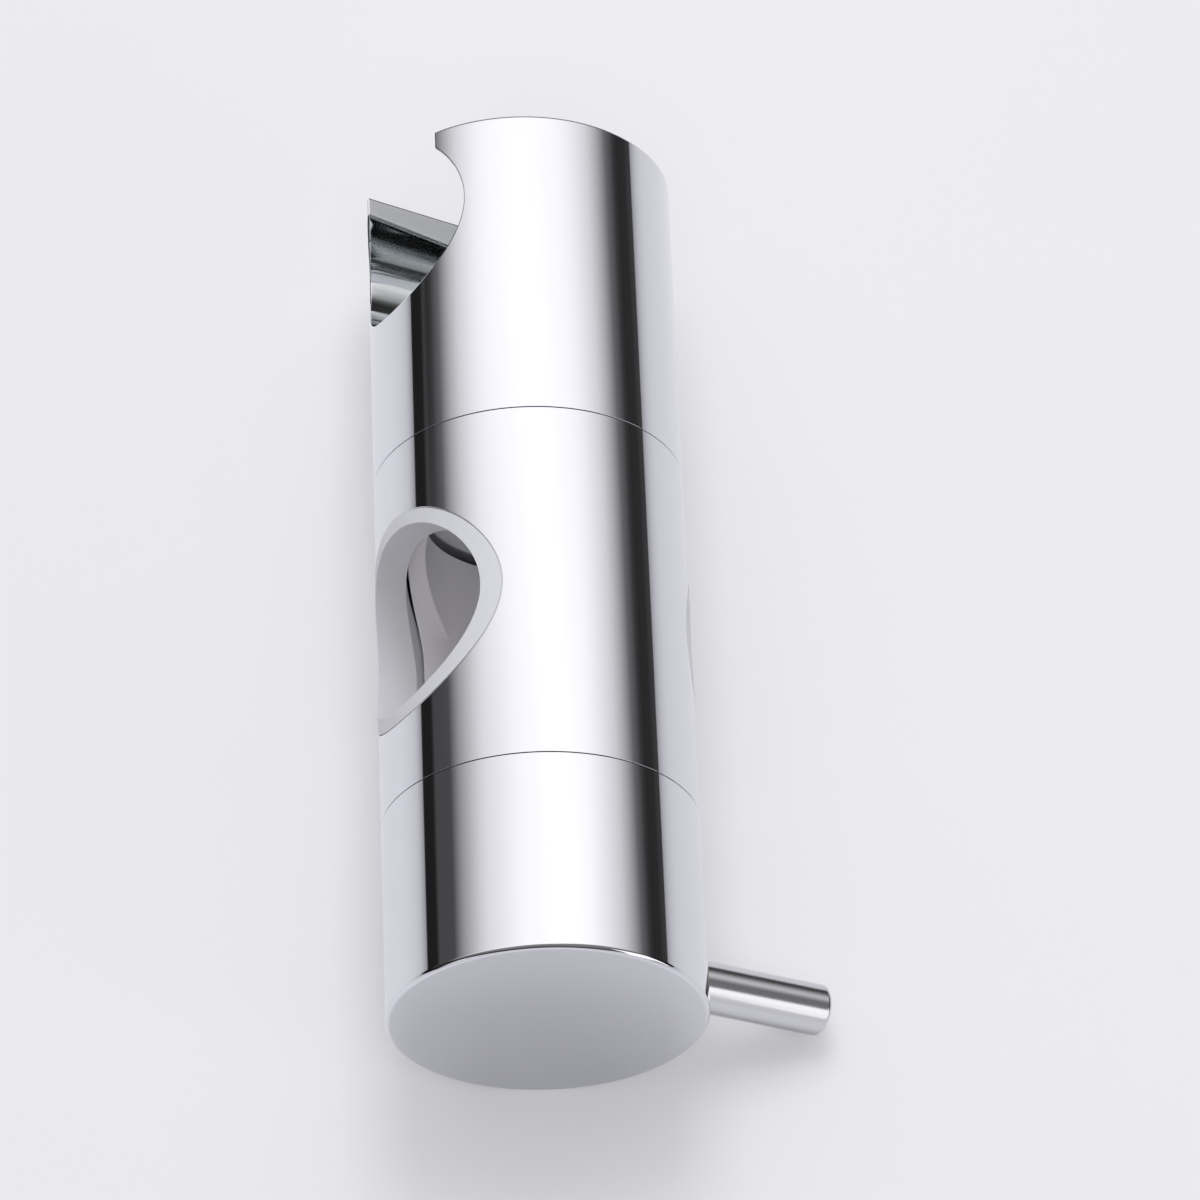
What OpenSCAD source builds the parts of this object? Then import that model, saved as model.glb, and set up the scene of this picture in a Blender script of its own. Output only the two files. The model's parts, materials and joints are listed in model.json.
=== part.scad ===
// Shower head holder clamp for a wall rail, in millimetres.
// The origin is the centre of the rail bore, on the axis of the cylinder.
// The rail runs along Z, the cylinder along X: the knob is at -X and the holder at +X.
// The front is -Y. Everything is drawn open, with room for the rail.

/* [Cylinder] */
// Outer diameter of the knob, the body and the holder
body_d = 40; // [39:0.5:44]
// Length of the middle section that grips the rail
body_len = 49.5; // [48.5:0.5:56]
// Length of the knob
knob_len = 26.7; // [25:0.1:34]
// Length of the hand shower holder
holder_len = 44.6; // [40:0.1:52]
// Width of the seam between two sections
seam = 0.3; // [0.2:0.05:0.5]
// Bevel on the outer edges at the seams
seam_bevel = 0.2; // [0.1:0.05:0.4]
// Bevel round the flat faces at both ends
end_bevel = 0.4; // [0.3:0.1:1]

/* [Rail bore and collars] */
// How far the rail's surface lies inside the outer surface, where the rail is widest
rail_inset = 7.5; // [7.25:0.25:9]
// Gap between the rail and a collar, all round
rail_gap = 0.13; // [0.05:0.01:0.19]
// Width of a collar's pale rim
collar_rim = 2; // [1.5:0.1:2.2]
// Depth of a collar's shoulder under the outer surface
shoulder_depth = 2; // [1.5:0.1:2.5]
// How far a collar's shoulder stands out behind the rim
shoulder_w = 0.75; // [0.5:0.05:0.85]
// Wall of the body, which is also the depth of a collar
body_wall = 3.95; // [3.5:0.05:4.2]
// Clearance round a collar in its seat
seat_gap = 0.05; // [0.02:0.01:0.1]

/* [Clamp barrel] */
// Clearance round the barrel in the body
barrel_gap = 0.3; // [0.25:0.05:0.4]
// Wall of the barrel
barrel_wall = 2.3; // [2:0.1:3]
// Gap between the rail and the side of the barrel's slot
slot_gap = 0.8; // [0.5:0.1:1.2]
// Share of the barrel past the rail that the slot takes, as room for the rail while the clamp is open
slot_share = 0.43; // [0.3:0.01:0.5]
// Share of the room between the plug and the stud's head that the knob draws the barrel through
travel_share = 0.634; // [0.5:0.002:0.66]
// Gap left at the end of the barrel's travel
stop_gap = 0.4; // [0.3:0.1:0.8]
// Width of the key that keeps the barrel from turning
key_w = 3; // [2:0.1:4]
// Height of that key
key_h = 1.1; // [0.8:0.1:1.2]

/* [Draw stud and drive sleeve] */
// Diameter of the draw stud's thread, as a share of the body's diameter
stud_share = 0.25; // [0.2:0.01:0.27]
// Length of stud inside the sleeve when the clamp is open
stud_grip = 10.5; // [8:0.5:11.5]
// How far the flats of the stud's hexagon head stand out past its thread
stud_head_w = 2.5; // [2:0.1:3]
// Thickness of that head
stud_head_t = 1.5; // [1.2:0.1:1.8]
// Wall of the drive sleeve round the thread, as a share of the body's diameter
sleeve_share = 0.075; // [0.06:0.005:0.085]
// How far the sleeve's flange stands out, as a share of the body's diameter
flange_share = 0.1; // [0.075:0.005:0.105]
// Thickness of the flange
flange_t = 2; // [1.5:0.1:3]
// Thickness of each thrust washer
thrust_t = 0.8; // [0.6:0.1:1.2]
// End play of the flange between its washers, each side
end_play = 0.05; // [0.03:0.01:0.1]
// Thickness of the retaining ring
ring_t = 1.1; // [0.9:0.1:1.5]
// How far the retaining ring sits in its groove
ring_bite = 1; // [0.6:0.1:1.3]

/* [End plug] */
// Wall of the body round the plug's threaded rim
plug_wall = 2.5; // [2:0.1:3]
// Thickness of the plug's disc
plug_t = 2.5; // [2:0.1:3]
// Gap between the plug's cup and the knob's skirt, which the drag ring bridges
cup_gap = 2.05; // [1.9:0.05:2.2]
// Wall of the cup past the retaining ring
cup_lip = 1.2; // [0.8:0.1:2]
// Section of the rubber drag ring round the cup
drag_ring_d = 2.6; // [2.4:0.1:2.8]
// Diameter of the two spanner holes in the plug
spanner_d = 1.6; // [1.2:0.1:1.8]

/* [Knob and lever] */
// Wall of the knob's skirt
knob_wall = 2.6; // [2:0.1:3]
// Thickness of the knob's end wall
knob_end_t = 3; // [2.5:0.1:4]
// Wall of the hub inside the knob
hub_wall = 3; // [2.5:0.1:4]
// Distance of the lever's axis from the knob's end face
lever_setback = 9.1; // [8.5:0.1:12]
// Diameter of the lever
lever_d = 6.5; // [5:0.1:7]
// How far the lever stands out of the knob
lever_reach = 19.1; // [15:0.1:30]
// Lean of the lever from straight down towards the front
lever_lean = 3.75; // [0:0.25:10]
// Rounding of the lever's tip
lever_round = 0.7; // [0.4:0.1:1.5]
// Diameter of the lever's threaded end
lever_stub_d = 4; // [3:0.5:5]
// Length of the lever's threaded end
lever_stub_len = 5; // [3:0.1:6]

/* [Holder and socket] */
// Distance of the socket's axis from the holder's end face
socket_setback = 11.45; // [10.2:0.05:13]
// Socket diameter at the top of the cylinder
socket_top_d = 24.6; // [23:0.1:26]
// Socket diameter at the bottom of the cylinder
socket_low_d = 19.8; // [18.5:0.1:21]
// Width of the slot that lets the hose in
hose_slot_w = 17.3; // [15:0.1:18]
// Wall of the holder round its cored end
holder_wall = 3; // [2.5:0.1:4]
// Wall between the cored end and the socket
web_t = 4; // [3:0.5:6]
// Number of ribs in the cored end
rib_count = 6; // [4:1:8]
// Thickness of a rib
rib_t = 1.8; // [1.2:0.1:2.4]
// Wall of the boss round the pivot insert
boss_wall = 3; // [2:0.1:4]

/* [Pivot] */
// Thickness of the body's wall at the pivot
pivot_wall = 3.6; // [3:0.1:4.2]
// Diameter of the pivot screw
pivot_d = 6; // [5:0.5:7]
// Length of screw held in the insert
pivot_grip = 9; // [7:0.5:11]
// Diameter of the screw's head
head_d = 10.5; // [9.5:0.5:11]
// Height of the screw's head
head_h = 3; // [2.5:0.1:3.5]
// Width of the cross recess in the head
cross_w = 1.4; // [1:0.1:1.8]
// Diameter of the washer under the spring
pivot_washer_d = 13; // [12.5:0.5:14]
// Thickness of that washer
pivot_washer_t = 1; // [0.8:0.1:1.2]
// Diameter of the disc spring
spring_d = 12; // [11.5:0.5:12.5]
// Sheet thickness of the disc spring
spring_t = 0.7; // [0.5:0.1:0.9]
// How far the disc spring is dished
spring_dish = 0.5; // [0.3:0.1:0.7]
// Depth of the recess round the washer
recess_depth = 1.2; // [1:0.1:1.5]
// Thickness of the friction disc between body and holder
friction_t = 1.5; // [1.2:0.1:2.5]
// Wall of the threaded brass insert
insert_wall = 1.6; // [1.2:0.1:2]

/* [Fits] */
// Radial clearance of a part that turns on another
run_gap = 0.05; // [0.03:0.01:0.09]
// Radial clearance of a part that only passes another
pass_gap = 0.3; // [0.25:0.05:0.5]

/* [Hidden] */
$fn = 96;

// Overlap of a cut past the face it starts from
cut = 1;

// Cylinder surface and the faces at the two seams
body_r = body_d / 2;
seam_x = body_len / 2;
body_end = seam_x - seam / 2;
part_start = seam_x + seam / 2;
knob_end = seam_x + knob_len;
holder_end = seam_x + holder_len;

// Rail bore, the collars round it and the bore that guides the barrel
rail_r = body_r - rail_inset;
bore_r = rail_r + rail_gap;
collar_r = bore_r + collar_rim;
shoulder_r = collar_r + shoulder_w;
shoulder_rho = body_r - shoulder_depth;
guide_r = body_r - body_wall;

// Barrel: its slot, the flat wall behind the slot, its travel and its two ends
barrel_r = guide_r - barrel_gap;
barrel_bore_r = barrel_r - barrel_wall;
slot_r = rail_r + slot_gap;
slot_wall_gap = 0.2;
slot_wall_x = -(slot_r + slot_wall_gap);
plug_inner_x = -body_end + plug_t;
clamp_travel = travel_share * (slot_wall_x - stud_head_t - plug_inner_x);
barrel_start = plug_inner_x + clamp_travel + stop_gap;
pivot_inner_x = body_end - pivot_wall;
barrel_mouth_gap = 0.7;
barrel_end = pivot_inner_x - barrel_mouth_gap;
slot_extra = slot_share * (barrel_end - slot_r);
barrel_bevel = 0.3;

// Key in the body's bore and the groove for it in the barrel
key_len = slot_r - 5;
key_end = plug_inner_x + key_len;
keyway_end = key_end + clamp_travel + stop_gap;
key_top = guide_r - key_h;

// Knob's skirt, and inside it the plug's rim and cup
skirt_r = body_r - knob_wall;
plug_r = body_r - plug_wall;
cup_r = skirt_r - cup_gap;

// Stud, sleeve, flange and what holds the flange in the plug's cup
stud_r = stud_share * body_d / 2;
stud_head_r = (stud_r + stud_head_w) / cos(30);
sleeve_bore_r = stud_r + run_gap;
sleeve_r = sleeve_bore_r + sleeve_share * body_d;
flange_w = flange_share * body_d;
flange_r = sleeve_r + flange_w;
cup_bore_r = flange_r + pass_gap;
sleeve_mouth = plug_inner_x - slot_wall_gap;
stud_tip = sleeve_mouth - stud_grip;
flange_top = -body_end - thrust_t - end_play;
flange_low = flange_top - flange_t;
ring_top = flange_low - end_play - thrust_t;
ring_low = ring_top - ring_t;
cup_end = ring_low - cup_lip;
sleeve_bore_end = stud_tip - clamp_travel - 1;

// Knob: hub and the lever's place
knob_floor = -knob_end + knob_end_t;
hub_r = sleeve_r + seat_gap + hub_wall;
hub_start = cup_end - pass_gap;
lever_x = -knob_end + lever_setback;
lever_r = lever_d / 2;
lever_tip = body_r + lever_reach;
lever_hole_r = lever_r + seat_gap;
lever_boss_r = lever_r + 2;
sleeve_end = lever_x - lever_stub_d;
spot_rho = sqrt(pow(sleeve_r, 2) - pow(lever_hole_r, 2));

// Rubber ring between the plug's cup and the knob's skirt
drag_r = drag_ring_d / 2;
drag_rho = skirt_r - run_gap - drag_r;
drag_x = (cup_end - body_end) / 2;

// Holder: socket, cored end and boss
socket_x = holder_end - socket_setback;
cored_r = body_r - holder_wall;
core_start = body_end + end_play + friction_t;
core_end = socket_x - socket_top_d / 2 - web_t;
insert_r = pivot_d / 2 + insert_wall;
boss_r = insert_r + boss_wall;
socket_slope = (socket_top_d - socket_low_d) / 2 / body_d;

// Pivot screw stack, from the recess floor towards the rail
pivot_r = pivot_d / 2;
recess_floor = pivot_inner_x + recess_depth;
recess_r = pivot_washer_d / 2 + pass_gap;
washer_x = recess_floor - pivot_washer_t;
spring_x = washer_x - spring_t - spring_dish;
head_x = spring_x - head_h;
pivot_tip = core_start + pivot_grip;
insert_end = pivot_tip + 1;

// A round bar along X from x0 to x1
module bar_x(r, x0, x1) {
    translate([x0, 0, 0])
        rotate([0, 90, 0])
            cylinder(r = r, h = x1 - x0);
}

// A round bar along Z through the whole cylinder, at x
module bar_z(r, x = 0) {
    translate([x, 0, -body_r - cut])
        cylinder(r = r, h = body_d + 2 * cut);
}

// A solid turned round the X axis from [radius, x] points
module turned(points) {
    rotate([0, 90, 0])
        rotate_extrude()
            polygon(points);
}

// A flat ring round the X axis
module ring_x(inner, outer, x0, x1) {
    turned([[inner, x0], [outer, x0], [outer, x1], [inner, x1]]);
}

// Stepped seat that a collar fills: the rim, and the wider shoulder under the surface
module collar_form(gap) {
    bar_z(collar_r + gap);
    intersection() {
        bar_z(shoulder_r + gap);
        bar_x(shoulder_rho + gap, -body_end, body_end);
    }
}

// One collar above the axis, flush with the body outside and with its bore inside
module collar() {
    difference() {
        intersection() {
            collar_form(0);
            bar_x(body_r, -body_end, body_end);
            translate([-body_r, -body_r, 0])
                cube([body_d, body_d, body_r]);
        }
        bar_x(guide_r, -body_end, body_end);
        bar_z(bore_r);
    }
}

module upper_collar() {
    color("gainsboro")
        collar();
}

module lower_collar() {
    color("gainsboro")
        mirror([0, 0, 1])
            collar();
}

// Chromed moulding of the middle section, with the wall that carries the pivot
module body_shell() {
    color("silver")
        union() {
            difference() {
                turned([
                    [pivot_r + run_gap, body_end],
                    [body_r - seam_bevel, body_end],
                    [body_r, body_end - seam_bevel],
                    [body_r, -body_end + seam_bevel],
                    [body_r - seam_bevel, -body_end],
                    [plug_r + seat_gap, -body_end],
                    [plug_r + seat_gap, plug_inner_x],
                    [guide_r, plug_inner_x],
                    [guide_r, pivot_inner_x],
                    [recess_r, pivot_inner_x],
                    [recess_r, recess_floor],
                    [pivot_r + run_gap, recess_floor]
                ]);
                collar_form(seat_gap);
            }
            translate([plug_inner_x, key_top, -key_w / 2])
                cube([key_len, key_h + body_wall / 2, key_w]);
        }
}

// The slot that the rail passes through: wide as the rail, longer towards the holder
module rail_slot() {
    bar_z(slot_r);
    bar_z(slot_r, slot_extra);
    translate([0, -slot_r, -body_r])
        cube([slot_extra, 2 * slot_r, body_d]);
}

// Six-sided head of the stud, or its pocket
module stud_head(gap, depth) {
    translate([slot_wall_x - stud_head_t, 0, 0])
        rotate([0, 90, 0])
            cylinder(r = stud_head_r + gap, h = depth, $fn = 6);
}

// Pale sliding barrel: the slot's far end is the jaw that pulls on the rail
module clamp_barrel() {
    color("whitesmoke")
        difference() {
            turned([
                [stud_r + seat_gap, barrel_start],
                [barrel_r - barrel_bevel, barrel_start],
                [barrel_r, barrel_start + barrel_bevel],
                [barrel_r, barrel_end - barrel_bevel],
                [barrel_r - barrel_bevel, barrel_end],
                [barrel_bore_r, barrel_end],
                [barrel_bore_r, slot_wall_x],
                [stud_r + seat_gap, slot_wall_x]
            ]);
            rail_slot();
            stud_head(seat_gap, stud_head_t + cut);
            translate([barrel_start - cut, key_top - pass_gap, -key_w / 2 - pass_gap])
                cube([keyway_end - barrel_start + cut, key_h + 2 * pass_gap, key_w + 2 * pass_gap]);
        }
}

// Brass stud that pulls the barrel, with its coarse thread drawn plain
module draw_stud() {
    color("goldenrod")
        union() {
            stud_head(0, stud_head_t);
            turned([
                [0, stud_tip],
                [stud_r - 1, stud_tip],
                [stud_r, stud_tip + 1],
                [stud_r, slot_wall_x - stud_head_t / 2],
                [0, slot_wall_x - stud_head_t / 2]
            ]);
        }
}

// Threaded plug that closes the body and holds the sleeve's flange in its cup
module end_plug() {
    color("darkgray")
        difference() {
            turned([
                [sleeve_r + run_gap, plug_inner_x],
                [plug_r, plug_inner_x],
                [plug_r, -body_end],
                [cup_r, -body_end],
                [cup_r, cup_end],
                [cup_bore_r, cup_end],
                [cup_bore_r, ring_low],
                [cup_bore_r + ring_bite, ring_low],
                [cup_bore_r + ring_bite, ring_top],
                [cup_bore_r, ring_top],
                [cup_bore_r, -body_end],
                [sleeve_r + run_gap, -body_end]
            ]);
            translate([drag_x, 0, 0])
                rotate([0, 90, 0])
                    rotate_extrude()
                        translate([drag_rho, 0])
                            circle(r = drag_r + seat_gap);
            for (side = [-1, 1])
                translate([-body_end - cut, side * (cup_r + plug_r) / 2, 0])
                    rotate([0, 90, 0])
                        cylinder(d = spanner_d, h = plug_t / 2 + cut);
        }
}

module inner_thrust_washer() {
    color("ivory")
        ring_x(sleeve_r + pass_gap, flange_r, -body_end - thrust_t, -body_end);
}

module outer_thrust_washer() {
    color("ivory")
        ring_x(sleeve_r + pass_gap, flange_r, ring_top, ring_top + thrust_t);
}

// Spring steel ring, open at one side, snapped into the cup's groove
module retaining_ring() {
    color("dimgray")
        difference() {
            ring_x(flange_r - flange_w / 2, cup_bore_r + ring_bite - seat_gap, ring_low + seat_gap, ring_top);
            translate([ring_low - cut, -flange_w / 2, 0])
                cube([ring_t + 2 * cut, flange_w, body_r]);
        }
}

// Rubber ring that gives the knob its drag
module drag_ring() {
    color("black")
        translate([drag_x, 0, 0])
            rotate([0, 90, 0])
                rotate_extrude()
                    translate([drag_rho, 0])
                        circle(r = drag_r);
}

// Turns what is drawn along +Z at the lever's place to where the lever points
module at_lever() {
    translate([lever_x, 0, 0])
        rotate([180 - lever_lean, 0, 0])
            children();
}

// Brass sleeve with the female thread; the lever screws into its solid end
module drive_sleeve() {
    color("goldenrod")
        difference() {
            turned([
                [0, sleeve_end],
                [sleeve_r, sleeve_end],
                [sleeve_r, flange_low],
                [flange_r, flange_low],
                [flange_r, flange_top],
                [sleeve_r, flange_top],
                [sleeve_r, sleeve_mouth],
                [sleeve_bore_r, sleeve_mouth],
                [sleeve_bore_r, sleeve_bore_end],
                [0, sleeve_bore_end]
            ]);
            at_lever()
                union() {
                    translate([0, 0, spot_rho - lever_stub_len - pass_gap])
                        cylinder(d = lever_stub_d + 2 * seat_gap, h = lever_stub_len + cut);
                    translate([0, 0, spot_rho])
                        cylinder(r = lever_hole_r, h = sleeve_r);
                }
        }
}

// Chromed cup with a blank flat end, and inside it the hub and the lever's boss
module knob_cup() {
    color("silver")
        difference() {
            union() {
                turned([
                    [0, -knob_end],
                    [body_r - end_bevel, -knob_end],
                    [body_r, -knob_end + end_bevel],
                    [body_r, -part_start - seam_bevel],
                    [body_r - seam_bevel, -part_start],
                    [skirt_r, -part_start],
                    [skirt_r, knob_floor],
                    [hub_r, knob_floor],
                    [hub_r, hub_start],
                    [0, hub_start]
                ]);
                at_lever()
                    cylinder(r = lever_boss_r, h = skirt_r + knob_wall / 2);
            }
            bar_x(sleeve_r + seat_gap, sleeve_end - pass_gap, hub_start + cut);
            at_lever()
                cylinder(r = lever_hole_r, h = body_r + cut);
        }
}

// Polished steel lever with a rounded tip, screwed through the hub into the sleeve
module lever() {
    color("lightsteelblue")
        at_lever()
            rotate_extrude()
                difference() {
                    union() {
                        translate([0, spot_rho - lever_stub_len])
                            square([lever_stub_d / 2, lever_stub_len + cut]);
                        translate([0, spot_rho])
                            square([lever_r, lever_tip - lever_round - spot_rho]);
                        translate([0, lever_tip - lever_round - cut])
                            square([lever_r - lever_round, lever_round + cut]);
                        translate([lever_r - lever_round, lever_tip - lever_round])
                            circle(r = lever_round);
                    }
                    translate([-2 * lever_round, 0])
                        square([2 * lever_round, lever_tip + cut]);
                }
}

// Tapered hole for the hand shower's cone, wider at the top
module socket_cone() {
    translate([socket_x, 0, -body_r - cut])
        cylinder(
            r1 = socket_low_d / 2 - cut * socket_slope,
            r2 = socket_top_d / 2 + cut * socket_slope,
            h = body_d + 2 * cut
        );
}

// Chromed moulding with the socket, the hose slot and a cored, ribbed end
module holder_socket() {
    color("silver")
        difference() {
            turned([
                [0, part_start],
                [body_r - seam_bevel, part_start],
                [body_r, part_start + seam_bevel],
                [body_r, holder_end - end_bevel],
                [body_r - end_bevel, holder_end],
                [0, holder_end]
            ]);
            bar_x(cored_r, part_start - cut, core_start);
            difference() {
                bar_x(cored_r, core_start - cut, core_end);
                bar_x(boss_r, core_start - 2 * cut, core_end + cut);
                for (turn = [0 : rib_count - 1])
                    rotate([turn * 360 / rib_count, 0, 0])
                        translate([core_start - 2 * cut, -rib_t / 2, 0])
                            cube([core_end, rib_t, body_r]);
            }
            bar_x(insert_r + seat_gap, core_start - cut, insert_end + pass_gap);
            socket_cone();
            translate([socket_x, -hose_slot_w / 2, -body_r - cut])
                cube([socket_setback + cut, hose_slot_w, body_d + 2 * cut]);
        }
}

// Brass insert in the holder's boss
module pivot_insert() {
    color("goldenrod")
        ring_x(pivot_r, insert_r, core_start, insert_end);
}

// Pivot screw: pan head with a cross recess, seen through the rail bore
module pivot_screw() {
    color("lightgray")
        difference() {
            turned([
                [0, head_x],
                [head_d / 2 - head_h / 2, head_x],
                [head_d / 2, head_x + head_h / 2],
                [head_d / 2, spring_x],
                [pivot_r, spring_x],
                [pivot_r, pivot_tip],
                [0, pivot_tip]
            ]);
            for (turn = [0, 90])
                rotate([turn, 0, 0])
                    translate([head_x - cut, -head_d / 4, -cross_w / 2])
                        cube([head_h / 2 + cut, head_d / 2, cross_w]);
        }
}

module pivot_washer() {
    color("lightgray")
        ring_x(pivot_r + pass_gap, pivot_washer_d / 2, washer_x, recess_floor);
}

// Dished spring washer that keeps the pivot tight
module disc_spring() {
    color("dimgray")
        turned([
            [pivot_r + pass_gap, spring_x],
            [pivot_r + pass_gap, spring_x + spring_t],
            [spring_d / 2, washer_x],
            [spring_d / 2, washer_x - spring_t]
        ]);
}

// Plastic disc that the holder turns on
module friction_disc() {
    color("ivory")
        ring_x(pivot_r + pass_gap, cored_r - pass_gap, body_end + end_play, core_start);
}

body_shell();
upper_collar();
lower_collar();
clamp_barrel();
draw_stud();
end_plug();
inner_thrust_washer();
outer_thrust_washer();
retaining_ring();
drag_ring();
drive_sleeve();
knob_cup();
lever();
holder_socket();
pivot_insert();
pivot_screw();
pivot_washer();
disc_spring();
friction_disc();
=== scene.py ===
import json
import math

import bpy
from mathutils import Euler, Matrix, Vector


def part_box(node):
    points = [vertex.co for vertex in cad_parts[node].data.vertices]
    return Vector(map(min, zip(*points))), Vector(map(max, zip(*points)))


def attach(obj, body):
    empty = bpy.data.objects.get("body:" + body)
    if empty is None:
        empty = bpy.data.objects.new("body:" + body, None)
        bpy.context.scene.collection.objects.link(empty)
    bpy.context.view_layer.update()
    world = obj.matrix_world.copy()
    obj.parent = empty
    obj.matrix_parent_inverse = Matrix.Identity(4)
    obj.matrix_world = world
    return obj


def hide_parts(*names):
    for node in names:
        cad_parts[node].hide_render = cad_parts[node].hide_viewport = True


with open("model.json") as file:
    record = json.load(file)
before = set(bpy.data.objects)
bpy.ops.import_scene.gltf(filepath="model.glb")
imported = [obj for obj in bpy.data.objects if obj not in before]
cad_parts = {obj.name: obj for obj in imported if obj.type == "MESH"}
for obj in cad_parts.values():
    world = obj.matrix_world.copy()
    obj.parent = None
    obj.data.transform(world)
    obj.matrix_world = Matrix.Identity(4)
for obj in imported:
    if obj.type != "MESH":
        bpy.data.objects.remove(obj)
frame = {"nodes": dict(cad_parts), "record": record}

bl_info = {
    "name": "Shower Rail Clamp",
    "version": (1, 0, 0),
    "blender": (4, 5, 0),
    "location": "3D View > Sidebar > Rail Clamp",
    "description": "Dresses a chromed clamp for a shower rail, and lights it in a soft studio",
    "category": "Object",
}

MM = 0.001
NODES = frame["nodes"]

# The clamp's outer radius, and the radius of its rail bore.
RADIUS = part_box("knob_cup")[1].z
BORE = next(m["dims"]["r_mm"] for m in frame["record"]["mounts"] if m["name"] == "rail_bore") * MM

# The sheet under the clamp leans: its normal, and the way up it, both square to the clamp's length.
SHEET_LEAN = math.radians(28.85)
SHEET_NORMAL = Vector((0, -math.cos(SHEET_LEAN), math.sin(SHEET_LEAN)))
SHEET_UP = Vector((0, math.sin(SHEET_LEAN), math.cos(SHEET_LEAN)))

# How much of the sheet's look is plain background, to the eye and in the chrome.
PLAIN_SEEN = 0.35
PLAIN_MIRRORED = 0.1

# The share of its light that the sheet keeps in the chrome, by metres up from the clamp; the rest
# is painted shade, mixed to black, for the light that falls off away from the clamp.
SHEET_PAINTED_FALLOFF = (
    (-0.65, 0.53), (-0.33, 0.66), (-0.2, 0.78), (-0.12, 0.88), (-0.05, 0.94), (-0.015, 1.0),
    (0.06, 1.0), (0.1, 0.92), (0.14, 0.85), (0.19, 0.75), (0.24, 0.62), (0.38, 0.4),
)

# Brightness of the studio by degrees above the sheet: in general, and behind the clamp.
DOME = (
    (0, 0.05), (3, 0.03), (9, 0.028), (12, 0.048), (18, 0.16), (24.5, 0.49), (31, 0.79),
    (37.5, 0.98), (43, 1.12), (48, 1.20), (54, 1.26), (60, 1.32), (90, 1.33),
)
DOME_BEHIND = (
    (0, 0.015), (4, 0.016), (6.5, 0.073), (18, 0.076), (21, 0.19), (24.5, 0.34), (31, 0.55),
    (36.5, 0.75), (41, 0.88), (50, 1.02), (60, 1.22), (90, 1.30),
)
DOME_PEAK = 1.33

# The directions between which the second of these takes over: up the sheet, except low on the
# holder's side.
BEHIND_STARTS = (-0.15, 0.15)
HOLDER_SIDE = (0.47, 0.55)
HOLDER_LOW = (0.07, 0.17)

# The directions between which the rim stays pale: off the knob's end, and low.
KNOB_SIDE = (-0.6, -0.72)
KNOB_LOW = (0.28, 0.16)

# The dome's share on the knob's side, down and up the sheet, and the directions between which
# that changes.
DOME_KNOB_SHARES = (0.2, 0.3)
SHARE_CHANGES = (0.0, 0.5)

# The share on the holder's side, the directions along X between which the dome grows to it, and
# how much sooner it does so up the sheet.
DOME_HOLDER_SHARE = 1.05
DOME_GROWS = (0.1, 0.54)
GROWS_SOONER = 0.35
SOONER_CHANGES = (-0.6, 0.0)

# Soft boxes: direction, distance, width up the sheet, length, brightness against white, and
# whether the chrome shows them.
SOFT_BOXES = {
    "over_holder": (Vector((0.5, 0, 0)) + SHEET_NORMAL * 0.86, 0.7, 0.3, 0.44, 4.3, False),
    "by_camera": (Vector((-0.49, -0.74, 0.46)), 0.8, 0.35, 0.35, 2.8, False),
    "off_knob": (Vector((-0.52, -0.64, -0.57)), 0.7, 0.42, 0.38, 1.3, True),
}

# The camera of the photograph: place in metres, turn in degrees, lens and sensor in millimetres.
CAMERA_PLACE = (-0.380517, -0.570389, 0.357048)
CAMERA_TURN = (26.560, 58.382, -94.047)
CAMERA_LENS = 182.99
CAMERA_SENSOR = 36.0

# Corners of the CAD's loose triangles closer than MERGE are one point. Edges flatter than FLAT
# go, and those steeper than SHARP are rounded.
MERGE = 0.004 * MM
FLAT = math.radians(0.3)
SHARP = math.radians(30)

# How far off an edge still belongs to a seam, an end face, or a collar's opening.
NEAR_SEAM = 0.25 * MM
NEAR_END = 1 * MM
NEAR_OPENING = 0.5 * MM

# The outer cylinder's facets lie this far under it at most, and face out at least this squarely.
FACET_DEPTH = 0.012 * MM
FACING_OUT = 0.9

# The plating is buffed down to the first depth under the clamp's skin, and not at all from the
# second on.
BUFFED_DEPTHS = (0.5 * MM, 1.5 * MM)

CHROME = "decorative chrome, plated on moulded ABS"


def srgb(hex_colour):
    """A hex colour as three linear values."""
    values = [int(hex_colour[i:i + 2], 16) / 255 for i in (1, 3, 5)]
    return [v / 12.92 if v <= 0.04045 else ((v + 0.055) / 1.055) ** 2.4 for v in values]


# Sizes and colours a user would change

def length(name, description, default, low, high):
    return bpy.props.FloatProperty(
        name=name, description=description, default=default, min=low, max=high,
        subtype="DISTANCE", unit="LENGTH", precision=5)


def colour(name, description, hex_colour):
    return bpy.props.FloatVectorProperty(
        name=name, description=description, default=srgb(hex_colour), min=0, max=1, size=3,
        subtype="COLOR")


class ClampSizes(bpy.types.PropertyGroup):
    """The small sizes that the solids leave to the finish."""
    seam_round: length(
        "Seam edges", "Rounding of the edges at the seams", 0.05 * MM, 0.02 * MM, 0.1 * MM)
    seam_closing: length(
        "Seam closing", "How far each rim reaches into a seam", 0.09 * MM, 0.0, 0.12 * MM)
    end_round: length(
        "End edges", "Rounding of the bevels at the flat ends", 0.2 * MM, 0.05 * MM, 0.25 * MM)
    mouth_round: length(
        "Mouth edges", "Rounding of the chrome round the bore", 0.2 * MM, 0.05 * MM, 0.4 * MM)
    socket_round: length(
        "Socket edges", "Rounding of the socket and the slot", 0.4 * MM, 0.05 * MM, 0.5 * MM)
    collar_round: length(
        "Collar edges", "Rounding where the rail enters", 0.1 * MM, 0.02 * MM, 0.3 * MM)
    barrel_round: length(
        "Barrel edges", "Rounding of the barrel's edges", 0.2 * MM, 0.05 * MM, 0.25 * MM)
    sheet_back: length("Sheet behind", "How far the sheet runs up behind the clamp", 0.38, 0.1, 2.0)
    sheet_front: length("Sheet in front", "How far the sheet runs down in front", 0.65, 0.1, 2.0)
    sheet_side: length("Sheet beside", "How far the sheet runs to each side", 0.9, 0.1, 2.0)


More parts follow.
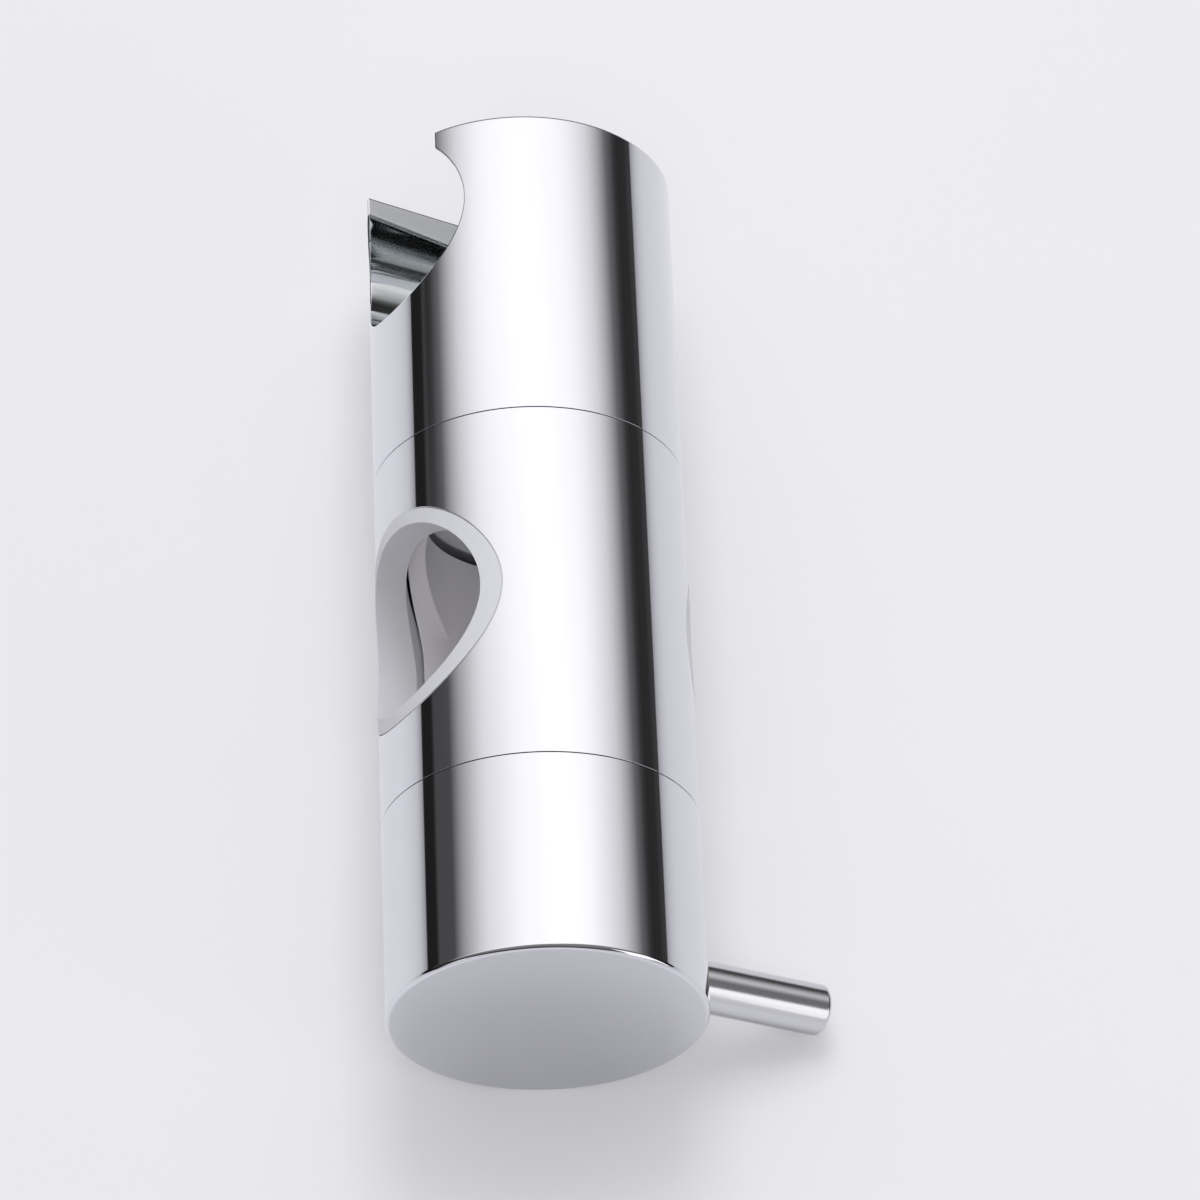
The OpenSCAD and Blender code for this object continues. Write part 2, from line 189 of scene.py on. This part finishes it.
class ClampColours(bpy.types.PropertyGroup):
    """The colours of the finishes."""
    chrome: colour("Chrome", "The plated outside of the clamp", "#E0E0E6")
    chrome_inside: colour("Chrome inside", "The thin plating in the socket and bores", "#DADDDE")
    collar: colour("Collars", "The moulded rings round the rail bore", "#D8D9DE")
    barrel: colour("Barrel", "The sliding clamp barrel", "#F0EEF2")
    plug: colour("Plug", "The threaded end plug", "#5A5A5E")
    bearing: colour("Bearing plastic", "The washers and the friction disc", "#DDD9CE")
    brass: colour("Brass", "The turned brass pieces", "#D9B877")
    steel: colour("Steel", "The lever, and the screw and its washer", "#D6D6DA")
    spring: colour("Spring steel", "The disc spring and the retaining ring", "#6B6A6A")
    rubber: colour("Rubber", "The drag ring in the knob", "#1C1C1D")
    sheet: colour("Sheet", "The paper sheet under the clamp", "#EFEFF3")
    background: colour("Background", "The plain background", "#E6E5E9")


PROPERTY_GROUPS = {"rail_clamp_sizes": ClampSizes, "rail_clamp_colours": ClampColours}


def sizes():
    return bpy.context.scene.rail_clamp_sizes


def tone(name, share=1.0):
    """One of the user's colours, or a share of it, as a shader takes it."""
    return [c * share for c in getattr(bpy.context.scene.rail_clamp_colours, name)] + [1.0]


# Materials

def node(tree, kind, settings=None, links=None):
    """Adds a node to a tree with its settings and what feeds each of its inputs."""
    new = tree.nodes.new(kind)
    for key, value in (settings or {}).items():
        if isinstance(key, int) or key in new.inputs:
            new.inputs[key].default_value = value
        else:
            setattr(new, key, value)
    for key, source in (links or {}).items():
        tree.links.new(source, new.inputs[key])
    return new


def new_material(name):
    """An empty material, its node tree and an object coordinate to build on."""
    material = bpy.data.materials.new(name)
    material.use_nodes = True
    tree = material.node_tree
    tree.nodes.clear()
    return material, tree, node(tree, "ShaderNodeTexCoord").outputs["Object"]


def bright_chrome():
    """Chrome over nickel on a moulding: a bright mirror outside, softer and greyer inside."""
    material, tree, place = new_material(CHROME)
    # The moulding under the plating is never quite flat: waves about 9 mm long bend its
    # reflections a little.
    waves = node(tree, "ShaderNodeTexNoise", {"Scale": 1 / (9 * MM), "Detail": 1.0}, {
        "Vector": place})
    lifted = node(tree, "ShaderNodeBump", {"Strength": 0.05, "Distance": 0.02 * MM}, {
        "Height": waves.outputs["Fac"]})
    # The outside is the skin of one long cylinder: its round side, and its two flat ends.
    parts = node(tree, "ShaderNodeSeparateXYZ", links={"Vector": place}).outputs
    flat = node(tree, "ShaderNodeCombineXYZ", links={"X": parts["Y"], "Y": parts["Z"]})
    out = node(tree, "ShaderNodeVectorMath", {"operation": "LENGTH"}, {0: flat.outputs["Vector"]})
    low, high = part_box("knob_cup")[0].x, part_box("holder_socket")[1].x
    middle = (low + high) / 2
    away = node(tree, "ShaderNodeMath", {"operation": "SUBTRACT", 1: middle}, {0: parts["X"]})
    off = node(tree, "ShaderNodeMath", {"operation": "ABSOLUTE"}, {0: away.outputs["Value"]})
    side, end = (
        node(tree, "ShaderNodeMapRange", {
            "From Min": face - BUFFED_DEPTHS[1], "From Max": face - BUFFED_DEPTHS[0]},
            {"Value": reach}).outputs["Result"]
        for reach, face in (
            (out.outputs["Value"], RADIUS), (off.outputs["Value"], (high - low) / 2)))
    outside = node(tree, "ShaderNodeMath", {"operation": "MAXIMUM"}, {0: side, 1: end})
    outside = outside.outputs["Value"]
    # Only the outside is buffed before plating, so the mirror is softer in the socket and bores.
    soft = node(tree, "ShaderNodeMapRange", {"To Min": 0.08, "To Max": 0.045}, {"Value": outside})
    # Little chrome reaches the deep places, and the nickel under it greys the mirror there.
    plating = node(tree, "ShaderNodeMixRGB", {
        "Color1": tone("chrome_inside"), "Color2": tone("chrome")}, {"Fac": outside})
    shader = node(tree, "ShaderNodeBsdfPrincipled", {"Metallic": 1.0}, {
        "Base Color": plating.outputs["Color"], "Roughness": soft.outputs["Result"],
        "Normal": lifted.outputs["Normal"]})
    node(tree, "ShaderNodeOutputMaterial", links={"Surface": shader.outputs["BSDF"]})
    return material


def chrome():
    """The chrome that the body, the knob and the holder share."""
    return bpy.data.materials.get(CHROME) or bright_chrome()


def moulded_plastic(name, shade, roughness=0.42, grain=0.35, ior=1.48):
    """Moulded plastic or rubber: the mould's fine spark-eroded grain spreads the highlight."""
    material, tree, place = new_material(name)
    # The real grain is about a tenth of a millimetre, too fine to show, so it is drawn coarser.
    grit = node(tree, "ShaderNodeTexNoise", {"Scale": 1 / (grain * MM), "Detail": 2.0}, {
        "Vector": place})
    tint = node(tree, "ShaderNodeMixRGB", {"Color1": tone(shade), "Color2": tone(shade, 0.94)}, {
        "Fac": grit.outputs["Fac"]})
    lifted = node(tree, "ShaderNodeBump", {"Strength": 0.15, "Distance": 0.02 * MM}, {
        "Height": grit.outputs["Fac"]})
    shader = node(tree, "ShaderNodeBsdfPrincipled", {"Roughness": roughness, "IOR": ior}, {
        "Base Color": tint.outputs["Color"], "Normal": lifted.outputs["Normal"]})
    node(tree, "ShaderNodeOutputMaterial", links={"Surface": shader.outputs["BSDF"]})
    return material


def turned_metal(name, shade, roughness, pitch=0.5, along="X"):
    """Metal turned or ground round: fine rings round its own axis draw the light out along it."""
    material, tree, place = new_material(name)
    # A wave texture has 20 / (2 pi) bands a unit at scale 1. The real feed is about 0.1 mm, too
    # fine to show, so it is drawn coarser.
    rings = node(tree, "ShaderNodeTexWave", {
        "bands_direction": along, "Scale": math.tau / 20 / (pitch * MM), "Distortion": 0.6,
        "Detail": 1.0}, {"Vector": place})
    lifted = node(tree, "ShaderNodeBump", {"Strength": 0.12, "Distance": 0.004 * MM}, {
        "Height": rings.outputs["Fac"]})
    shader = node(tree, "ShaderNodeBsdfPrincipled", {
        "Base Color": tone(shade), "Metallic": 1.0, "Roughness": roughness},
        {"Normal": lifted.outputs["Normal"]})
    node(tree, "ShaderNodeOutputMaterial", links={"Surface": shader.outputs["BSDF"]})
    return material


def dress(name, material):
    """Gives a CAD node its material."""
    mesh = NODES[name].data
    mesh.materials.clear()
    mesh.materials.append(material)


# Stage

def set_levels(ramp, levels, peak=1.0):
    """Sets a ramp's stops from pairs of place, from 0 to 1, and level."""
    stops = ramp.color_ramp.elements
    for place, _ in levels[1:-1]:
        stops.new(place)
    for stop, (place, level) in zip(stops, levels):
        stop.position = place
        stop.color = (level / peak, level / peak, level / peak, 1.0)


def lay_sheet():
    """A pale paper sheet that touches the clamp's side and can be seen from its front only."""
    size = sizes()
    bpy.ops.object.select_all(action="DESELECT")
    bpy.ops.mesh.primitive_plane_add(size=1)
    sheet = bpy.context.object
    sheet.name = "paper_sheet"
    sheet.data.name = "paper_sheet"
    corners = [
        (-size.sheet_side, -size.sheet_front), (size.sheet_side, -size.sheet_front),
        (-size.sheet_side, size.sheet_back), (size.sheet_side, size.sheet_back)]
    for vertex, (side, up) in zip(sheet.data.vertices, corners):
        vertex.co = Vector((side, 0, 0)) + SHEET_UP * up - SHEET_NORMAL * RADIUS
    sheet.data.update()
    if sheet.data.polygons[0].normal.dot(SHEET_NORMAL) < 0:
        sheet.data.flip_normals()
    sheet.data.materials.append(sheet_paper())


def sheet_paper():
    """Matt cast paper: its slow flecks only just show."""
    material, tree, place = new_material("matt paper, cast")
    fibre = node(tree, "ShaderNodeTexNoise", {"Scale": 1 / (40 * MM), "Detail": 1.0}, {
        "Vector": place})
    tint = node(tree, "ShaderNodeMixRGB", {
        "Color1": tone("sheet"), "Color2": tone("sheet", 0.985)}, {"Fac": fibre.outputs["Fac"]})
    paper = node(tree, "ShaderNodeBsdfDiffuse", links={"Color": tint.outputs["Color"]})
    # Part of the sheet is plain background to the eye and to the chrome, which keeps its
    # shadows soft.
    plain = node(tree, "ShaderNodeEmission", {"Color": tone("background")})
    ray = node(tree, "ShaderNodeLightPath").outputs
    seen = node(tree, "ShaderNodeMath", {"operation": "MULTIPLY", 1: PLAIN_SEEN}, {
        0: ray["Is Camera Ray"]})
    share = node(tree, "ShaderNodeMath", {"operation": "MULTIPLY_ADD", 1: PLAIN_MIRRORED}, {
        0: ray["Is Glossy Ray"], 2: seen.outputs["Value"]})
    front = node(tree, "ShaderNodeMixShader", links={
        0: share.outputs["Value"], 1: paper.outputs["BSDF"], 2: plain.outputs["Emission"]})
    # Away from the clamp the sheet is painted darker in the chrome only: painted shade for the
    # light that falls off there.
    first, last = SHEET_PAINTED_FALLOFF[0][0], SHEET_PAINTED_FALLOFF[-1][0]
    height = node(tree, "ShaderNodeVectorMath", {"operation": "DOT_PRODUCT", 1: SHEET_UP}, {
        0: place})
    up = node(tree, "ShaderNodeMapRange", {"From Min": first, "From Max": last}, {
        "Value": height.outputs["Value"]})
    loss = node(tree, "ShaderNodeValToRGB", links={"Fac": up.outputs["Result"]})
    set_levels(loss, [((at - first) / (last - first), 1 - keeps) for at, keeps in SHEET_PAINTED_FALLOFF])
    mirrored = node(tree, "ShaderNodeMath", {"operation": "MULTIPLY"}, {
        0: loss.outputs["Color"], 1: ray["Is Glossy Ray"]})
    # A black emission: the painted shade that the chrome sees on the sheet far from the clamp.
    dark = node(tree, "ShaderNodeEmission", {"Strength": 0.0})
    painted_falloff = node(tree, "ShaderNodeMixShader", links={
        0: mirrored.outputs["Value"], 1: front.outputs["Shader"], 2: dark.outputs["Emission"]})
    # From behind, the sheet is clear.
    clear = node(tree, "ShaderNodeBsdfTransparent")
    behind = node(tree, "ShaderNodeNewGeometry").outputs["Backfacing"]
    sided = node(tree, "ShaderNodeMixShader", links={
        0: behind, 1: painted_falloff.outputs["Shader"], 2: clear.outputs["BSDF"]})
    node(tree, "ShaderNodeOutputMaterial", links={"Surface": sided.outputs["Shader"]})
    return material


def light_studio(context):
    """A soft dome over the sheet, dark near its rim, and plain where the camera sees it."""
    world = bpy.data.worlds.new("soft studio")
    context.scene.world = world
    world.use_nodes = True
    tree = world.node_tree
    tree.nodes.clear()
    way = node(tree, "ShaderNodeTexCoord").outputs["Generated"]
    x = node(tree, "ShaderNodeSeparateXYZ", links={"Vector": way}).outputs["X"]
    up, height = (
        node(tree, "ShaderNodeVectorMath", {"operation": "DOT_PRODUCT", 1: direction}, {
            0: way}).outputs["Value"]
        for direction in (SHEET_UP, SHEET_NORMAL))
    # The brightness by height, in general and behind the clamp.
    general = node(tree, "ShaderNodeValToRGB", links={"Fac": height})
    behind = node(tree, "ShaderNodeValToRGB", links={"Fac": height})
    for ramp, levels in ((general, DOME), (behind, DOME_BEHIND)):
        set_levels(ramp, [(math.sin(math.radians(a)), level) for a, level in levels], DOME_PEAK)
    # Each of these grows smoothly while its source goes from one direction to another.
    knob_shares = [share * DOME_PEAK for share in DOME_KNOB_SHARES]
    back, by_holder, holder_low, by_knob, knob_low, sooner, least = (
        node(tree, "ShaderNodeMapRange", {
            "interpolation_type": "SMOOTHSTEP", "From Min": start, "From Max": end,
            "To Min": low, "To Max": high}, {"Value": source}).outputs["Result"]
        for source, (start, end), (low, high) in (
            (up, BEHIND_STARTS, (0.0, 1.0)), (x, HOLDER_SIDE, (0.0, 1.0)),
            (height, HOLDER_LOW, (0.0, 1.0)), (x, KNOB_SIDE, (0.0, 1.0)),
            (height, KNOB_LOW, (0.0, 1.0)), (up, SOONER_CHANGES, (0.0, GROWS_SOONER)),
            (up, SHARE_CHANGES, knob_shares)))
    near_holder, near_knob = (
        node(tree, "ShaderNodeMath", {"operation": "MULTIPLY"}, {0: side, 1: low}).outputs["Value"]
        for side, low in ((by_holder, holder_low), (by_knob, knob_low)))
    rest = node(tree, "ShaderNodeMath", {"operation": "SUBTRACT", 0: 1.0}, {1: near_holder})
    taken = node(tree, "ShaderNodeMath", {"operation": "MULTIPLY"}, {
        0: back, 1: rest.outputs["Value"]})
    level = node(tree, "ShaderNodeMixRGB", links={
        "Fac": taken.outputs["Value"], "Color1": general.outputs["Color"],
        "Color2": behind.outputs["Color"]})
    side = node(tree, "ShaderNodeMath", {"operation": "ADD"}, {0: x, 1: sooner})
    share = node(tree, "ShaderNodeMapRange", {
        "interpolation_type": "SMOOTHSTEP", "From Min": DOME_GROWS[0], "From Max": DOME_GROWS[1],
        "To Max": DOME_HOLDER_SHARE * DOME_PEAK}, {"Value": side.outputs["Value"], "To Min": least})
    dome = node(tree, "ShaderNodeBackground", links={
        "Color": level.outputs["Color"], "Strength": share.outputs["Result"]})
    plain = node(tree, "ShaderNodeBackground", {"Color": tone("background")}).outputs["Background"]
    # Low off the knob's end the rim isn't dark, which only the lever mirrors.
    studio = node(tree, "ShaderNodeMixShader", links={
        0: near_knob, 1: dome.outputs["Background"], 2: plain})
    seen = node(tree, "ShaderNodeLightPath").outputs["Is Camera Ray"]
    mixed = node(tree, "ShaderNodeMixShader", links={
        0: seen, 1: studio.outputs["Shader"], 2: plain})
    node(tree, "ShaderNodeOutputWorld", links={"Surface": mixed.outputs["Shader"]})


def hang_soft_boxes(context):
    """Soft boxes that face the clamp: each one's power follows from its size and its brightness."""
    for name, (towards, distance, width, run, brightness, mirrored) in SOFT_BOXES.items():
        box = bpy.data.lights.new(name, "AREA")
        box.shape = "RECTANGLE"
        box.size, box.size_y = width, run
        box.energy = math.pi * width * run * brightness
        lamp = bpy.data.objects.new(name, box)
        towards = towards.normalized()
        across = (SHEET_UP - towards * SHEET_UP.dot(towards)).normalized()
        lamp.matrix_world = Matrix((across, towards.cross(across), towards)).transposed().to_4x4()
        lamp.location = towards * distance
        lamp.visible_glossy = mirrored
        context.scene.collection.objects.link(lamp)


def place_camera(context):
    """The camera of the photograph, off the knob's end and above the clamp."""
    lens = bpy.data.cameras.new("camera")
    lens.sensor_width = CAMERA_SENSOR
    lens.lens = CAMERA_LENS
    lens.clip_start = 0.01
    camera = bpy.data.objects.new("camera", lens)
    camera.location = CAMERA_PLACE
    camera.rotation_euler = Euler([math.radians(a) for a in CAMERA_TURN])
    context.scene.collection.objects.link(camera)
    context.scene.camera = camera


class CLAMP_OT_stage(bpy.types.Operator):
    """Lay the leaning sheet, set the soft studio round it and place the camera"""
    bl_idname = "rail_clamp.stage"
    bl_label = "Stage"

    def execute(self, context):
        lay_sheet()
        light_studio(context)
        hang_soft_boxes(context)
        place_camera(context)
        return {"FINISHED"}


# Pieces

def rounded_piece(name, new_name, body, width_at, material, seams=()):
    """A merged copy of a CAD node that stands for it, each sharp edge rounded by width_at(middle).

    Each seam is the place along X of one of its end faces, and 1 or -1 for the way it looks.
    """
    bpy.ops.object.select_all(action="DESELECT")
    piece = bpy.data.objects.new(new_name, NODES[name].data.copy())
    piece.data.name = new_name
    piece.data.materials.clear()
    bpy.context.scene.collection.objects.link(piece)
    piece.select_set(True)
    bpy.context.view_layer.objects.active = piece
    bpy.ops.mesh.customdata_custom_splitnormals_clear()
    bpy.ops.object.mode_set(mode="EDIT")
    bpy.ops.mesh.select_all(action="SELECT")
    bpy.ops.mesh.remove_doubles(threshold=MERGE)
    bpy.ops.mesh.dissolve_degenerate(threshold=2 * MERGE)
    bpy.ops.mesh.dissolve_limited(angle_limit=FLAT)
    bpy.ops.mesh.select_all(action="DESELECT")
    bpy.ops.object.mode_set(mode="OBJECT")
    for face_x, way in seams:
        close_seam(piece.data, face_x, way)
    bevel = piece.modifiers.new("rounding", "BEVEL")
    bevel.limit_method = "WEIGHT"
    bevel.width = weigh_sharp_edges(piece.data, width_at)
    bevel.segments = 3
    bevel.use_clamp_overlap = False
    bevel.miter_outer = "MITER_ARC"
    bevel.loop_slide = False
    bpy.ops.object.modifier_apply(modifier=bevel.name)
    bpy.ops.object.shade_smooth_by_angle(angle=SHARP)
    even = piece.modifiers.new("even shading", "WEIGHTED_NORMAL")
    even.keep_sharp = True
    bpy.ops.object.modifier_apply(modifier=even.name)
    shade_round(piece.data)
    piece.data.materials.append(material)
    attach(piece, body)
    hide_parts(name)


def close_seam(mesh, face_x, way):
    """Fills the bevel at a seam and brings the rim forward, to leave the hairline that is seen."""
    for vertex in mesh.vertices:
        radius = vertex.co.yz.length
        if abs(vertex.co.x - face_x) < NEAR_SEAM and radius > RADIUS - NEAR_SEAM:
            vertex.co.x = face_x + way * sizes().seam_closing


def weigh_sharp_edges(mesh, width_at):
    """Gives each sharp edge a bevel weight, and returns the width that a weight of 1 means."""
    faces_of = {}
    for face in mesh.polygons:
        for key in face.edge_keys:
            faces_of.setdefault(key, []).append(face.normal)
    widths = {}
    for edge in mesh.edges:
        normals = faces_of.get(edge.key, [])
        if len(normals) == 2 and normals[0].angle(normals[1], 0) > SHARP:
            ends = [mesh.vertices[i].co for i in edge.vertices]
            widths[edge.index] = width_at((ends[0] + ends[1]) / 2)
    widest = max(widths.values())
    weights = mesh.attributes.new("bevel_weight_edge", "FLOAT", "EDGE")
    for index, width in widths.items():
        weights.data[index].value = width / widest
    return widest


def shade_round(mesh):
    """Points the outer cylinder's shading straight out from its axis, so reflections run true."""
    normals = [Vector(corner.vector) for corner in mesh.corner_normals]
    for face in mesh.polygons:
        for index in face.loop_indices:
            place = mesh.vertices[mesh.loops[index].vertex_index].co
            outward = Vector((0, place.y, place.z)).normalized()
            outer = place.yz.length > RADIUS - FACET_DEPTH
            if outer and outward.dot(face.normal) > FACING_OUT:
                normals[index] = outward
    mesh.normals_split_custom_set(normals)


def moulding_width(name, elsewhere, flat_ends=()):
    """The rounding of a chromed moulding's edges: at its seams, at its flat ends, and elsewhere."""
    low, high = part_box(name)

    def width_at(place):
        for face in (low.x, high.x):
            if abs(place.x - face) < NEAR_END and place.yz.length > RADIUS - NEAR_END:
                return sizes().end_round if face in flat_ends else sizes().seam_round
        return elsewhere
    return width_at


def collar_width(place):
    """A collar is rounded where the rail enters it, and only broken elsewhere."""
    outside = place.yz.length > RADIUS - NEAR_OPENING
    at_bore = place.xy.length < BORE + NEAR_OPENING
    return sizes().collar_round if outside and at_bore else sizes().seam_round


def barrel_width(place):
    """Every edge of the barrel is lightly broken."""
    return sizes().barrel_round


class CLAMP_OT_body(bpy.types.Operator):
    """Plate the body, and round and dress the two collars in its bore"""
    bl_idname = "rail_clamp.body"
    bl_label = "Body and collars"

    def execute(self, context):
        low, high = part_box("body_shell")
        width = moulding_width("body_shell", sizes().mouth_round)
        seams = ((low.x, -1), (high.x, 1))
        rounded_piece("body_shell", "plated_body", "body", width, chrome(), seams)
        satin = moulded_plastic("acetal, moulded and satin", "collar")
        for side in ("upper", "lower"):
            rounded_piece(f"{side}_collar", f"{side}_rim", "body", collar_width, satin)
        return {"FINISHED"}


class CLAMP_OT_barrel(bpy.types.Operator):
    """Round and dress the barrel that slides in the body"""
    bl_idname = "rail_clamp.barrel"
    bl_label = "Barrel"

    def execute(self, context):
        satin = moulded_plastic("acetal, moulded and smooth", "barrel", roughness=0.35)
        rounded_piece("clamp_barrel", "sliding_barrel", "barrel", barrel_width, satin)
        return {"FINISHED"}


class CLAMP_OT_knob(bpy.types.Operator):
    """Plate the knob and polish its lever"""
    bl_idname = "rail_clamp.knob"
    bl_label = "Knob and lever"

    def execute(self, context):
        low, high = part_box("knob_cup")
        width = moulding_width("knob_cup", sizes().mouth_round, (low.x,))
        rounded_piece("knob_cup", "plated_knob", "knob", width, chrome(), ((high.x, 1),))
        polished = turned_metal("stainless steel, drawn and polished", "steel", 0.18, along="Z")
        dress("lever", polished)
        return {"FINISHED"}


class CLAMP_OT_holder(bpy.types.Operator):
    """Plate the hand shower holder"""
    bl_idname = "rail_clamp.holder"
    bl_label = "Holder"

    def execute(self, context):
        low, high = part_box("holder_socket")
        width = moulding_width("holder_socket", sizes().socket_round, (high.x,))
        rounded_piece("holder_socket", "plated_holder", "holder", width, chrome(), ((low.x, -1),))
        return {"FINISHED"}


class CLAMP_OT_inner_pieces(bpy.types.Operator):
    """Give the turned and moulded pieces inside their finishes"""
    bl_idname = "rail_clamp.inner_pieces"
    bl_label = "Inner pieces"

    def execute(self, context):
        dress("end_plug", moulded_plastic("glass-filled nylon, moulded", "plug"))
        bearing = moulded_plastic("acetal, turned", "bearing")
        for name in ("inner_thrust_washer", "outer_thrust_washer", "friction_disc"):
            dress(name, bearing)
        brass = turned_metal("brass, turned", "brass", 0.25)
        for name in ("draw_stud", "drive_sleeve", "pivot_insert"):
            dress(name, brass)
        zinc = turned_metal("mild steel, zinc plated", "steel", 0.22)
        for name in ("pivot_screw", "pivot_washer"):
            dress(name, zinc)
        blued = turned_metal("spring steel, blued", "spring", 0.35)
        for name in ("disc_spring", "retaining_ring"):
            dress(name, blued)
        rubber = moulded_plastic("nitrile rubber, moulded", "rubber", roughness=0.7, ior=1.52)
        dress("drag_ring", rubber)
        return {"FINISHED"}


class CLAMP_PT_panel(bpy.types.Panel):
    """Lists the steps that dress the clamp"""
    bl_idname = "CLAMP_PT_panel"
    bl_label = "Rail Clamp"
    bl_space_type = "VIEW_3D"
    bl_region_type = "UI"
    bl_category = "Rail Clamp"

    def draw(self, context):
        for step in OPERATORS:
            self.layout.operator(step.bl_idname)


OPERATORS = (
    CLAMP_OT_stage, CLAMP_OT_body, CLAMP_OT_barrel, CLAMP_OT_knob, CLAMP_OT_holder,
    CLAMP_OT_inner_pieces)
CLASSES = (ClampSizes, ClampColours, *OPERATORS, CLAMP_PT_panel)


def register():
    for kind in CLASSES:
        bpy.utils.register_class(kind)
    for name, group in PROPERTY_GROUPS.items():
        setattr(bpy.types.Scene, name, bpy.props.PointerProperty(type=group))


def unregister():
    for name in PROPERTY_GROUPS:
        delattr(bpy.types.Scene, name)
    for kind in reversed(CLASSES):
        bpy.utils.unregister_class(kind)


def main():
    """Dresses the clamp."""
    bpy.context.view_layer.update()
    register()
    bpy.context.scene.view_settings.view_transform = "Standard"
    bpy.ops.rail_clamp.stage()
    bpy.ops.rail_clamp.body()
    bpy.ops.rail_clamp.barrel()
    bpy.ops.rail_clamp.knob()
    bpy.ops.rail_clamp.holder()
    bpy.ops.rail_clamp.inner_pieces()


if __name__ == "__main__":
    main()
